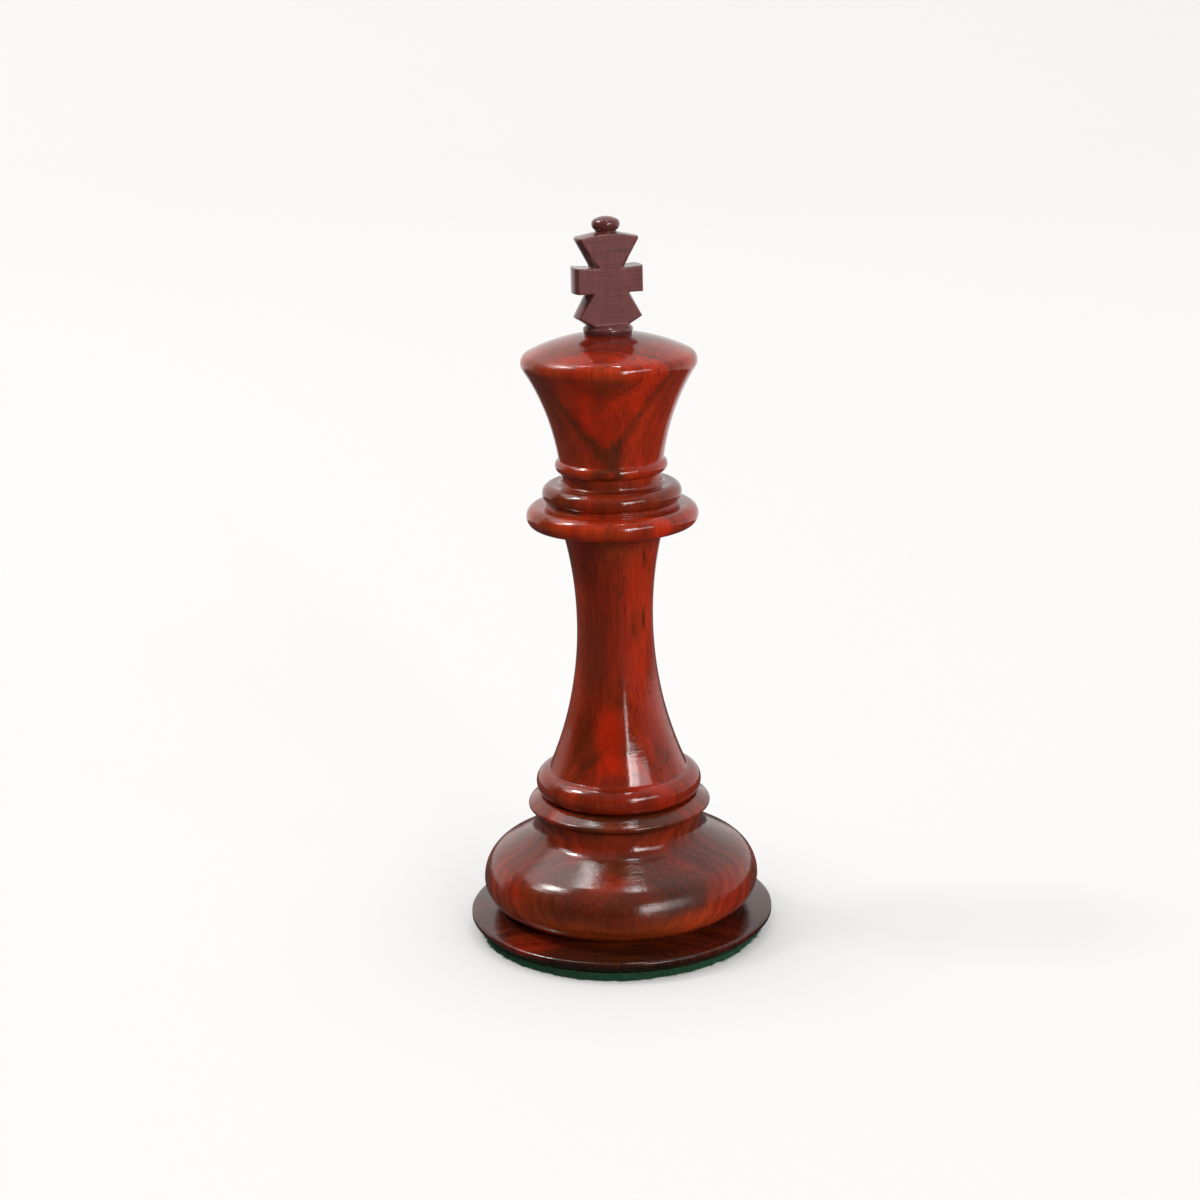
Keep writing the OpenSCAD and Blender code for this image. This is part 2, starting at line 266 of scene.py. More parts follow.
def turnPiece(name, path, s, finish):
    points = fillPath(easeCorners(path, s["easeMm"]))
    mesh = bpy.data.meshes.new(name)
    edges = [(i, i + 1) for i in range(len(points) - 1)]
    mesh.from_pydata([(r * mm, 0, z * mm) for r, z in points], edges, [])
    return applyTree(newObject(name, mesh), lathe, {
        "Sides": s["sides"], "Ripple": s["rippleMm"] * mm, "Ripple Size": s["rippleSizeMm"] * mm,
        "Seed": s["seed"], "Finish": finish})


# wood: growth layers, long bands and fibres along Z, cloudy patches and short dark pores

woodGrain = {
    # of each noise: the share of Z that counts, size in mm, detail and roughness
    "swing": (0.28, 9.0, 1.0, 0.5), "shiver": (0.45, 1.6, 4.0, 0.6), "fibre": (0.05, 0.42, 4.0, 0.65),
    "mottle": (0.5, 4.4, 5.0, 0.62), "band": (0.03, 4.5, 2.0, 0.5),
    "shiverMm": 1.5, "ringScale": 0.8, "ringDetail": 2.0,
    "poreShift": 7.3, "poreZ": 0.11, "poreScale": 1.7, "poreCore": 0.12, "poreEdge": 0.24,
}


def woodGroup(s):
    tree, given, result = newTree("woodFigure", "ShaderNodeTree", [
        ("Place", "Vector", None), ("Waver", "Float", 1.5),
        ("Slant", "Float", 0.0), ("Lean", "Float", 0.0), ("Seed", "Float", 0.0)],
        [(label, "Float") for label in ("Depth", "Fibre", "Pores", "Mottle", "Band", "Rings")])

    def stretched(shareZ, size, detail, roughness):
        along = vectorCalc(tree, "MULTIPLY", given["Place"], (1.0, 1.0, shareZ))
        return seededNoise(tree, along, given["Seed"], 1.0 / size, detail, roughness)

    split = splitXyz(tree, given["Place"])
    swing = calc(tree, "MULTIPLY", aboutZero(tree, stretched(*s["swing"])), given["Waver"])
    shiver = calc(tree, "MULTIPLY", aboutZero(tree, stretched(*s["shiver"])), s["shiverMm"])
    slanted = calc(tree, "SUBTRACT", calc(tree, "MULTIPLY", split["X"], given["Slant"]),
                   calc(tree, "MULTIPLY", split["Z"], given["Lean"]))
    depth = calc(tree, "SUBTRACT", calc(tree, "ADD", swing, shiver), calc(tree, "ADD", split["Y"], slanted))
    rings = place(tree, "ShaderNodeTexNoise", {"noise_dimensions": "2D"}, {
        "Vector": joinXyz(tree, depth, given["Seed"]), "Scale": s["ringScale"], "Detail": s["ringDetail"]})
    shifted = vectorCalc(tree, "ADD", given["Place"], calc(tree, "MULTIPLY", given["Seed"], s["poreShift"]))
    along = vectorCalc(tree, "MULTIPLY", shifted, (1.0, 1.0, s["poreZ"]))
    cells = place(tree, "ShaderNodeTexVoronoi", None, {"Vector": along, "Scale": s["poreScale"]}).outputs
    made = {
        "Depth": depth, "Rings": rings.outputs[0], "Fibre": stretched(*s["fibre"]),
        "Mottle": stretched(*s["mottle"]), "Band": stretched(*s["band"]),
        "Pores": spread(tree, cells["Distance"], s["poreCore"], s["poreEdge"], 1.0, 0.0)}
    for label, value in made.items():
        tree.links.new(value, result[label])
    return tree


# lacquer: orange peel over fine rubbing marks that run round the piece, with patches duller than others

lacquerCoat = {
    # of each noise: scale, detail and the share of X and Y that counts
    "peel": (0.6, 2.0, 1.0), "finePeel": (4.2, 3.0, 1.0), "marks": (3.0, 3.0, 0.06), "dull": (0.3, 3.0, 1.0),
    "finePeelHeight": 0.42, "marksHeight": 0.70,
}


def lacquerGroup(s):
    tree, given, result = newTree("lacquerSkin", "ShaderNodeTree", [
        ("Place", "Vector", None), ("Seed", "Float", 0.0)],
        [("Height", "Float"), ("Dullness", "Float")])

    def layer(scale, detail, shareXy):
        where = vectorCalc(tree, "MULTIPLY", given["Place"], (shareXy, shareXy, 1.0))
        return seededNoise(tree, where, given["Seed"], scale, detail)

    marks = calc(tree, "MULTIPLY", layer(*s["marks"]), s["marksHeight"])
    fine = calc(tree, "MULTIPLY", layer(*s["finePeel"]), s["finePeelHeight"])
    peel = calc(tree, "ADD", layer(*s["peel"]), fine)
    tree.links.new(calc(tree, "ADD", peel, marks), result["Height"])
    tree.links.new(layer(*s["dull"]), result["Dullness"])
    return tree


woodFigure = woodGroup(woodGrain)
lacquerSkin = lacquerGroup(lacquerCoat)


# helpers for the finishes

def newMaterial(name):
    material = bpy.data.materials.new(name)
    material.use_nodes = True
    tree = material.node_tree
    return material, tree, tree.nodes["Principled BSDF"]


# the piece's own coordinates, scaled and turned about Z
def coordinates(tree, scale, turn=0.0):
    own = place(tree, "ShaderNodeTexCoord").outputs["Object"]
    return place(tree, "ShaderNodeMapping", None, {
        "Vector": own, "Scale": scale, "Rotation": (0, 0, math.radians(turn))}).outputs[0]


# stops are (place, colour) or (place, colour, amount of vein), and the vein comes out as the alpha
def colourRamp(tree, value, low, high, stops):
    ramp = place(tree, "ShaderNodeValToRGB", None, {0: spread(tree, value, low, high, 0.0, 1.0)})
    elements = ramp.color_ramp.elements
    while len(elements) > 1:
        elements.remove(elements[-1])
    for i, (at, colour, *vein) in enumerate(stops):
        spot = (at - low) / (high - low)
        element = elements[0] if i == 0 else elements.new(spot)
        element.position = spot
        element.color = (*colour, *(vein or [0.0]))
    return ramp.outputs


def blendTo(tree, colour, mask, tint):
    return place(tree, "ShaderNodeMix", {"data_type": "RGBA"}, {
        "Factor": mask, "A": colour, "B": (*tint, 1.0)}).outputs["Result"]


def addBump(tree, shader, depthMm, height):
    bump = place(tree, "ShaderNodeBump", None, {"Distance": depthMm * mm, "Height": height})
    tree.links.new(bump.outputs[0], shader.inputs["Normal"])


patchFade = (0.35, 1.4)     # shares of its reach at which a patch begins to fade and is gone


# a soft-edged patch: its middle and reach in mm, and its value at the middle
def patchMask(tree, where, blur, middle, reach, most):
    away = vectorCalc(tree, "DIVIDE", vectorCalc(tree, "SUBTRACT", where, middle), reach)
    edge = calc(tree, "ADD", vectorCalc(tree, "LENGTH", away), blur)
    return spread(tree, edge, *patchFade, most, 0.0, soft=True)


# lacquered wood of the two turnings

figureRange = {
    # the part of each noise, or of the way across in mm, over which its effect grows
    "veinTwist": 0.04, "veinAcross": (-4.0, 3.0), "veinMottle": (0.36, 0.58), "veinLeast": 0.45,
    "mottle": (0.42, 0.68), "band": (0.45, 0.68), "fibre": (0.32, 0.68), "rings": (0.3, 0.7),
    "blurMottle": (0.25, 0.75, -0.3, 0.3), "blurFibre": (0.3, 0.7, -0.2, 0.2),
    "poreMottle": (0.38, 0.6), "poreLeast": 0.45, "poreAcross": (-2.0, 3.0), "dull": (0.3, 0.7),
    "ior": 1.5, "specular": 0.45,
}


def lacqueredWood(name, s, f):
    material, tree, shader = newMaterial(name)
    inMm = coordinates(tree, perMm, s["grainTurn"])
    wood = place(tree, "ShaderNodeGroup", {"node_tree": woodFigure}, {
        "Place": vectorCalc(tree, "SUBTRACT", inMm, (0, 0, s["middle"])), "Waver": s["waver"],
        "Slant": s["slant"], "Lean": s["lean"], "Seed": s["seed"]}).outputs
    split = splitXyz(tree, inMm)
    layers = colourRamp(tree, wood["Depth"], -s["reach"], s["reach"], s["layers"])
    aboveTurn = calc(tree, "SUBTRACT", split["Z"], s["veinTurn"])
    twist = calc(tree, "MULTIPLY", split["X"], calc(tree, "MULTIPLY", aboveTurn, f["veinTwist"]))
    veinSide = calc(tree, "MULTIPLY", spread(tree, twist, *f["veinAcross"], s["veinFaint"], 1.0),
                    spread(tree, wood["Mottle"], *f["veinMottle"], f["veinLeast"], 1.0))
    colour = blendTo(tree, layers[0], calc(tree, "MULTIPLY", layers[1], veinSide), s["veinColour"])
    mottled = spread(tree, wood["Mottle"], *f["mottle"], 0.0, s["mottle"])
    colour = blendTo(tree, colour, mottled, s["mottleColour"])
    blur = calc(tree, "ADD", spread(tree, wood["Mottle"], *f["blurMottle"]),
                spread(tree, wood["Fibre"], *f["blurFibre"]))
    across = calc(tree, "ADD", split["X"], calc(tree, "MULTIPLY", blur, s["sideBlur"]))
    for start, end, most, tint in s["sides"]:
        colour = blendTo(tree, colour, spread(tree, across, start, end, 0.0, most), tint)
    colour = blendTo(tree, colour, spread(tree, wood["Band"], *f["band"], 0.0, s["band"]), s["bandColour"])
    for middle, reach, most, tint in s["clouds"]:
        colour = blendTo(tree, colour, patchMask(tree, inMm, blur, middle, reach, most), tint)
    shade = calc(tree, "MULTIPLY", spread(tree, wood["Fibre"], *f["fibre"], *s["fibre"]),
                 spread(tree, wood["Rings"], *f["rings"], *s["rings"]))
    share = spread(tree, layers[1], 0.0, 1.0, *s["pores"])
    crowd = calc(tree, "MULTIPLY", spread(tree, wood["Mottle"], *f["poreMottle"], f["poreLeast"], 1.0),
                 spread(tree, across, *f["poreAcross"], s["poreLeft"], 1.0))
    pores = calc(tree, "MULTIPLY", wood["Pores"], calc(tree, "MULTIPLY", share, crowd))
    final = blendTo(tree, scaleVector(tree, colour, shade), pores, s["poreColour"])
    tree.links.new(final, shader.inputs["Base Color"])
    lacquer = place(tree, "ShaderNodeGroup", {"node_tree": lacquerSkin}, {"Place": inMm, "Seed": s["seed"]})
    addBump(tree, shader, s["peelMm"], lacquer.outputs["Height"])
    dull = spread(tree, lacquer.outputs["Dullness"], *f["dull"], *s["roughness"])
    for middle, reach, most in s["dullPatches"]:
        dull = calc(tree, "ADD", dull, patchMask(tree, inMm, blur, middle, reach, most))
    tree.links.new(dull, shader.inputs["Roughness"])
    shader.inputs["IOR"].default_value = f["ior"]
    shader.inputs["Specular IOR Level"].default_value = f["specular"]
    return material


stemRed = (0.31, 0.013, 0.003)
stemOrange = (0.39, 0.029, 0.006)
headRed = (0.60, 0.027, 0.004)
headOrange = (0.64, 0.052, 0.009)
brownHeart = (0.23, 0.029, 0.007)
# dark wood, also used as painted shade on the stem's left side
darkHeartAndShade = (0.10, 0.017, 0.005)
# orange of the wood's flame, also used as painted light on the body's right side
flameOrangeAndLight = (0.54, 0.033, 0.006)

# layers count from the axis to the front in mm, with their colour and the amount of vein
# patches: middle and reach in mm with the front at -Y, strength and colour
bodyWood = {
    "grainTurn": 16.6,      # degrees about Z from the piece's own front to the front of the grain
    "middle": 0.0, "reach": 14.0, "waver": 3.0, "slant": 0.07, "lean": 0.0, "seed": 2.0,
    "mottle": 0.7, "mottleColour": (0.15, 0.020, 0.005), "band": 0.5, "bandColour": darkHeartAndShade,
    "veinTurn": 45.0, "veinFaint": 0.25, "veinColour": (0.075, 0.022, 0.007), "sideBlur": 5.0,
    # the right side blends to orange, partly the wood's tone and partly painted light from the right; the far
    # left blends to a lighter orange-brown
    "sides": [(0.4, 2.4, 0.42, flameOrangeAndLight), (-4.0, -8.0, 0.55, (0.42, 0.054, 0.011))],
    "fibre": (0.80, 1.15), "rings": (0.86, 1.12),
    "pores": (0.85, 1.0), "poreLeft": 0.45, "poreColour": (0.028, 0.009, 0.004),
    "layers": [
        (-13, stemRed), (-10.5, headOrange), (-9.4, headRed, 0.3), (-8.4, brownHeart, 1.0),
        (-7.2, stemOrange, 0.2), (-4.5, stemRed), (-1.4, brownHeart, 0.2), (0.5, stemRed), (3.0, stemOrange),
        (5.2, stemRed), (6.4, stemOrange, 0.0), (7.95, stemOrange, 0.1), (8.2, brownHeart, 0.95),
        (8.5, brownHeart, 0.95), (8.8, headRed, 0.1), (10.6, headRed), (11.3, headRed, 0.4), (11.9, headRed),
        (13, headOrange)],
    "clouds": [
        ((-3.6, -4.9, 58.0), (1.6, 4.0, 3.4), 0.6, darkHeartAndShade),                  # stem, top left: dark streaks with painted shade of the stem's left side
        ((-3.2, -4.6, 44.0), (2.4, 5.0, 9.0), 0.7, darkHeartAndShade),                  # stem, left: dark streaks with painted shade of the stem's left side
        ((-5.0, -7.0, 31.0), (2.2, 5.0, 6.0), 0.8, darkHeartAndShade),                  # flare, left
        ((3.1, -4.8, 48.9), (1.3, 4.0, 3.0), 0.55, darkHeartAndShade),                  # stem, right
        ((6.1, -6.8, 29.0), (1.4, 4.0, 2.4), 0.5, darkHeartAndShade),                   # flare, right
        ((-0.9, -10.3, 26.0), (2.4, 3.0, 1.6), 0.6, darkHeartAndShade),                 # foot of the flare
        ((0.1, -12.2, 86.0), (3.6, 3.0, 1.6), 0.55, (0.15, 0.03, 0.008)),       # head, below its rim
        ((1.0, -7.0, 93.5), (15.0, 14.0, 4.6), 0.88, (0.10, 0.008, 0.003)),     # dome, darker at the front: painted shade and dark reflection of the finial
        ((1.5, -6.5, 62.0), (5.0, 4.0, 3.2), 0.5, (0.26, 0.040, 0.011)),        # stem, below the collar
        ((0.0, 0.0, 68.7), (60.0, 60.0, 2.4), 0.6, darkHeartAndShade),                  # round the upper ring
        ((0.0, 0.0, 24.0), (60.0, 60.0, 3.4), 0.4, (0.13, 0.010, 0.004)),       # round the bead
        ((0.0, 0.0, 31.0), (60.0, 60.0, 7.0), 0.3, (0.15, 0.011, 0.004)),       # round the flare
        ((4.7, -3.5, 50.0), (1.7, 4.5, 6.0), 0.4, flameOrangeAndLight),                 # bright streak, right
        ((4.2, -4.3, 49.7), (0.25, 3.0, 1.8), 0.9, darkHeartAndShade),                  # four open pores, right
        ((4.5, -5.0, 59.5), (0.25, 3.0, 1.6), 0.9, darkHeartAndShade),
        ((7.7, -3.1, 34.3), (0.25, 3.0, 1.5), 0.9, darkHeartAndShade),
        ((7.4, -6.4, 29.0), (0.35, 3.0, 1.2), 0.85, darkHeartAndShade),
        ((-1.0, -7.5, 32.5), (2.2, 4.0, 5.0), 0.75, (0.46, 0.018, 0.003)),      # red patch on the flare
        ((5.2, -3.4, 42.0), (0.8, 3.0, 5.0), 0.55, (0.19, 0.015, 0.004))],      # stem, low right
    "peelMm": 0.019, "roughness": (0.08, 0.16),
    "dullPatches": [
        ((-8.5, -8.5, 89.0), (6.0, 6.0, 3.0), 0.16),        # rim of the head, left
        ((-9.0, -4.5, 29.0), (3.0, 5.0, 6.0), 0.22)],       # flare, left
}

baseRed = (0.28, 0.018, 0.004)
baseOrange = (0.29, 0.030, 0.006)
baseBrown = (0.15, 0.024, 0.006)
baseDark = (0.060, 0.014, 0.006)

baseWood = {
    "grainTurn": 16.6,
    "middle": 8.25, "reach": 26.0, "waver": 5.0, "slant": 0.05, "lean": 0.577, "seed": 5.0,
    "mottle": 0.75, "mottleColour": (0.09, 0.017, 0.005), "band": 0.45, "bandColour": (0.07, 0.014, 0.005),
    "veinTurn": 8.25, "veinFaint": 1.0, "veinColour": baseDark, "sideBlur": 6.0,
    "sides": [(6.0, 18.0, 0.35, (0.34, 0.032, 0.007)), (-6.0, -18.0, 0.3, (0.36, 0.032, 0.007))],
    "fibre": (0.72, 1.20), "rings": (0.68, 1.22),
    "pores": (0.45, 0.8), "poreLeft": 1.0, "poreColour": (0.025, 0.008, 0.004),
    "layers": [
        (-25, baseRed), (-21, baseBrown, 0.3), (-18, baseRed), (-14, baseOrange), (-12.2, baseBrown, 0.8),
        (-10, baseRed), (-6, baseBrown), (-4, baseBrown, 0.7), (-2, baseRed), (2, baseOrange),
        (5, baseBrown, 0.2), (7.5, baseRed), (12, baseOrange), (15.5, baseRed), (17.2, baseBrown),
        (18.4, baseBrown, 0.4), (20.3, baseBrown, 0.3), (21.5, baseRed), (22.6, baseBrown), (24, baseBrown)],
    "clouds": [
        ((0.0, 0.0, 0.0), (60.0, 60.0, 6.4), 0.95, (0.018, 0.006, 0.004)),      # plinth, all round: painted shade and dark reflection of the bulb above it
        ((-14.0, -4.0, 15.5), (9.0, 14.0, 3.6), 0.5, baseDark),                 # shoulder, left
        ((14.0, -4.0, 15.5), (9.0, 14.0, 3.6), 0.6, baseDark),                  # shoulder, right
        ((0.0, -19.0, 6.4), (26.0, 14.0, 2.4), 0.8, (0.36, 0.046, 0.007)),      # bulb, low
        ((0.0, -20.0, 7.4), (6.0, 5.0, 2.2), 0.4, baseDark),                    # bulb, low front
        ((1.5, -18.5, 11.5), (6.5, 6.0, 3.2), 0.6, (0.08, 0.015, 0.005)),       # bulb, front
        ((13.5, -15.0, 6.9), (8.0, 9.0, 2.3), 0.75, (0.50, 0.052, 0.010)),      # bulb, low right: the wood's orange with painted bounce light from the floor
        ((9.5, -16.5, 11.8), (5.5, 5.0, 2.4), 0.8, baseDark),                   # bulb, front right
        ((-6.5, -19.0, 9.9), (6.0, 5.0, 1.8), 0.6, baseDark),                   # bulb, front left
        ((-9.0, -13.8, 14.0), (6.0, 4.0, 1.5), 0.5, baseDark),                  # shoulder, front left
        ((16.0, -12.0, 8.6), (3.6, 6.0, 4.4), 0.85, (0.33, 0.020, 0.004)),      # bulb, right
        ((-2.0, -17.3, 13.2), (3.6, 3.0, 1.3), 0.6, baseRed),                   # bulb, high front
        ((0.0, -12.6, 17.3), (10.0, 6.0, 1.6), 0.65, (0.34, 0.028, 0.006)),     # cove
        ((-13.9, -15.9, 3.4), (4.0, 4.0, 1.3), 0.5, baseRed)],                  # plinth, left
    "peelMm": 0.032, "roughness": (0.09, 0.18),
    "dullPatches": [((9.0, -18.0, 8.6), (7.0, 6.0, 4.0), 0.16)],                # bulb, front right
}


# satin wood of the finial and bare wood of the plug, with saw lines on their flats

sawnGrain = {
    "lineScale": (200, 200, 5200), "lineDetail": 3.0, "lines": (0.52, 0.66), "edgeMm": 0.06,
    "grain": (0.25, 0.75), "mottle": (0.4, 0.7), "dull": (0.3, 0.7), "turnedGrain": 0.3,
}


# sawn is the height range and the half thickness of the flats; what lies outside is turned and smoother
def satinWood(name, s, g):
    material, tree, shader = newMaterial(name)
    wood = place(tree, "ShaderNodeGroup", {"node_tree": woodFigure}, {
        "Place": coordinates(tree, [size * s["fineness"] for size in perMm]), "Waver": s["waver"],
        "Seed": s["seed"]}).outputs
    colour = colourRamp(tree, wood["Fibre"], *g["grain"], s["grain"])[0]
    mottled = spread(tree, wood["Mottle"], *g["mottle"], 0.0, s["mottle"])
    colour = blendTo(tree, colour, mottled, s["mottleColour"])
    lines = place(tree, "ShaderNodeTexNoise", None, {
        "Vector": coordinates(tree, g["lineScale"]), "Scale": 1.0, "Detail": g["lineDetail"]}).outputs[0]
    split = splitXyz(tree, coordinates(tree, perMm))
    low, high, half = s["sawn"]
    level = calc(tree, "MULTIPLY", calc(tree, "GREATER_THAN", split["Z"], low),
                 calc(tree, "LESS_THAN", split["Z"], high))
    onFace = calc(tree, "GREATER_THAN", calc(tree, "ABSOLUTE", split["Y"]), half - g["edgeMm"])
    flat = calc(tree, "MULTIPLY", onFace, level)
    turned = calc(tree, "SUBTRACT", 1.0, flat)
    darker = (calc(tree, "MULTIPLY", spread(tree, lines, *g["lines"], 0.0, s["sawDark"]), flat),
              calc(tree, "MULTIPLY", turned, s["turnedDark"]),
              calc(tree, "MULTIPLY", wood["Pores"], s["poreDepth"]))
    for mask in darker:
        colour = blendTo(tree, colour, mask, s["poreColour"])
    tree.links.new(colour, shader.inputs["Base Color"])
    depth = spread(tree, flat, 0.0, 1.0, g["turnedGrain"], 1.0)
    grain = calc(tree, "ADD", wood["Fibre"], lines)
    addBump(tree, shader, s["grainMm"], calc(tree, "MULTIPLY", grain, depth))
    dull = calc(tree, "MULTIPLY", flat, spread(tree, wood["Mottle"], *g["dull"], *s["dullness"]))
    tree.links.new(calc(tree, "ADD", dull, s["turnedRoughness"]), shader.inputs["Roughness"])
    return material


finialWood = {
    "fineness": 2.6, "waver": 1.0, "seed": 9.0, "grainMm": 0.020,
    "sawn": (93.1, 106.35, 2.05), "sawDark": 0.4,
    "turnedRoughness": 0.16, "dullness": (0.2, 0.34), "turnedDark": 0.45,
    "poreDepth": 0.6, "poreColour": (0.05, 0.014, 0.011),
    "mottle": 0.45, "mottleColour": (0.14, 0.032, 0.028),
    "grain": [(0.25, (0.16, 0.038, 0.034)), (0.45, (0.205, 0.052, 0.047)), (0.6, (0.235, 0.064, 0.058)),
              (0.75, (0.28, 0.084, 0.077))],
}
plugWood = {
    "fineness": 1.0, "waver": 1.0, "seed": 4.0, "grainMm": 0.03, "sawn": (-1.0, 200.0, 0.0), "sawDark": 0.3,
    "turnedRoughness": 0.45, "dullness": (0.15, 0.35), "turnedDark": 0.0,
    "poreDepth": 0.5, "poreColour": (0.18, 0.09, 0.04), "mottle": 0.3, "mottleColour": (0.26, 0.15, 0.07),
    "grain": [(0.25, (0.30, 0.17, 0.08)), (0.75, (0.48, 0.31, 0.16))],
}


# steel of the weight

weightSteel = {
    "streaks": (300, 9000, 300), "detail": 3.0, "range": (0.3, 0.7), "roughness": 0.42,
    "shades": [(0.3, (0.38, 0.38, 0.39)), (0.7, (0.56, 0.56, 0.57))],
}


def metalFinish(name, s):
    material, tree, shader = newMaterial(name)
    noise = place(tree, "ShaderNodeTexNoise", None, {
        "Vector": coordinates(tree, s["streaks"]), "Scale": 1.0, "Detail": s["detail"]})
    colour = colourRamp(tree, noise.outputs[0], *s["range"], s["shades"])[0]
    tree.links.new(colour, shader.inputs["Base Color"])
    shader.inputs["Metallic"].default_value = 1.0
    shader.inputs["Roughness"].default_value = s["roughness"]
    return material


# felt of the foot

feltCloth = {
    "tangle": {"Scale": 3.5, "Detail": 5.0, "Roughness": 0.7, "Distortion": 0.8}, "fuzzMm": 0.12,
    "range": (0.3, 0.7), "roughness": 0.95,
    "shades": [(0.3, (0.003, 0.020, 0.009)), (0.5, (0.008, 0.056, 0.024)), (0.7, (0.03, 0.13, 0.055))],
    "sheen": 0.35, "sheenRoughness": 0.5, "sheenTint": (0.25, 0.7, 0.45, 1.0),
}


def feltFinish(name, s):
    material, tree, shader = newMaterial(name)
    tangle = place(tree, "ShaderNodeTexNoise", None, {"Vector": coordinates(tree, perMm), **s["tangle"]})
    colour = colourRamp(tree, tangle.outputs[0], *s["range"], s["shades"])[0]
    tree.links.new(colour, shader.inputs["Base Color"])
    addBump(tree, shader, s["fuzzMm"], tangle.outputs[0])
    shader.inputs["Roughness"].default_value = s["roughness"]
    shader.inputs["Sheen Weight"].default_value = s["sheen"]
    shader.inputs["Sheen Roughness"].default_value = s["sheenRoughness"]
    shader.inputs["Sheen Tint"].default_value = s["sheenTint"]
    return material


bodyFinish = lacqueredWood("lacqueredBodyWood", bodyWood, figureRange)
baseFinish = lacqueredWood("lacqueredBaseWood", baseWood, figureRange)
finialFinish = satinWood("satinFinialWood", finialWood, sawnGrain)
feltGreen = feltFinish("greenFelt", feltCloth)
print("materials made")

lathe = latheTree()


# base: plinth, bulb, shoulder, cove and ring, with the bore below and the mortise on top

turnedBase = {
    "plinthFoot": 21.9, "plinthRim": 23.1, "undercut": 1.3, "rimHeight": 0.75, "rimEase": 0.2,
    "dishRise": 0.9,
    "bulb": 20.95, "bulbLowRound": 3.8, "bulbLowHeight": 4.2, "bulbTopRound": 5.4, "shoulderSlope": 30.0,
    "coveRound": 2.6, "neck": 12.6, "neckHeight": 1.3, "ring": 13.8, "ringNose": 0.45, "ringUnder": 35.0,
    "ringTop": 33.0, "ringTopRadius": 12.0, "bore": 13.0, "boreDepth": 11.3, "mortise": 6.05,
    "mortiseDepth": 6.4, "easeMm": 0.12, "sides": 160, "rippleMm": 0.09, "rippleSizeMm": 7.0, "seed": 1.0,
}


def basePath(s, z):
    low = [(0, z + s["boreDepth"]), (s["bore"], z + s["boreDepth"]), (s["bore"], z), (s["plinthFoot"], z)]
    zRim = z + s["undercut"] + s["rimHeight"]
    rim = [(s["plinthRim"], z + s["undercut"]), (s["plinthRim"], zRim - s["rimEase"]),
           (s["plinthRim"] - s["rimEase"], zRim)]
    zGroove = zRim + s["dishRise"]
    zBulb = zGroove + s["bulbLowHeight"]
    lowCentre = s["bulb"] - s["bulbLowRound"]
    bulb = [(lowCentre, zGroove)] + arc((lowCentre, zBulb), s["bulbLowRound"], -90, 0)
    turn = 90 - s["shoulderSlope"]
    bulb += arc((s["bulb"] - s["bulbTopRound"], zBulb), s["bulbTopRound"], 0, turn)[1:]
    rounds = s["bulbTopRound"] + s["coveRound"]
    sine, cosine = math.sin(math.radians(turn)), math.cos(math.radians(turn))
    run = (s["bulb"] - s["neck"] - rounds * (1 - cosine)) / sine
    zNeck = zBulb + rounds * sine + run * cosine
    cove = arc((s["neck"] + s["coveRound"], zNeck), s["coveRound"], 180 + turn, 180)
    zUnder = zNeck + s["neckHeight"]
    under, top = math.radians(s["ringUnder"]), math.radians(s["ringTop"])
    ringCentre = s["ring"] - s["ringNose"]
    noseLow = ringCentre + s["ringNose"] * math.sin(under)
    zRing = zUnder + (noseLow - s["neck"]) * math.tan(under) + s["ringNose"] * math.cos(under)
    nose = arc((ringCentre, zRing), s["ringNose"], s["ringUnder"] - 90, 90 - s["ringTop"])
    zTop = nose[-1][1] + (nose[-1][0] - s["ringTopRadius"]) * math.tan(top)
    inside = [(s["mortise"], zTop), (s["mortise"], zTop - s["mortiseDepth"]), (0, zTop - s["mortiseDepth"])]
    outside = low + rim + bulb + cove + [(s["neck"], zUnder)] + nose + [(s["ringTopRadius"], zTop)]
    return outside + inside, zTop


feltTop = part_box("felt_pad")[1].z / mm
path, zJoint = basePath(turnedBase, feltTop)
kingBase = turnPiece("kingBase", path, turnedBase, baseFinish)
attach(kingBase, "root")
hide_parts("base")
print("base turned, joint at", round(zJoint, 3))


# body: tenon, bead, stem, collar, upper ring, neck, small bead, head, dome and socket

turnedBody = {
    "tenon": 6.0, "tenonLength": 6.0, "bead": 12.5, "beadRound": 2.1, "beadHeight": 4.05, "beadMiddle": 2.05,
    "beadEnd": 87.0, "waist": 5.7, "stemSweep": 57.0, "stemLow": 23.0, "stemTop": 14.1, "stemStep": 0.5,
    "collar": 12.75, "collarNose": 1.6, "collarUnder": 10.0, "collarTop": 5.0,
    "step": 9.8, "stepHeight": 0.45,
    "torus": 10.32, "torusRound": 1.42, "torusHeight": 2.6, "torusMiddle": 1.2, "neck": 7.45, "neckCove": 0.6,
    "neckHeight": 1.85, "smallBead": 8.3, "smallRound": 1.0, "smallHeight": 1.75, "headFoot": 7.75,
    "head": 12.9, "headHeight": 14.4, "headSweep": 34.0, "headStep": 0.4, "rimRound": 1.6, "dome": 27.0,
    "seat": 3.45, "seatEdge": 3.4, "seatSink": 0.2, "socket": 2.35, "socketDepth": 8.4,
    "easeMm": 0.10, "sides": 144, "rippleMm": 0.05, "rippleSizeMm": 8.0, "seed": 3.0,
}


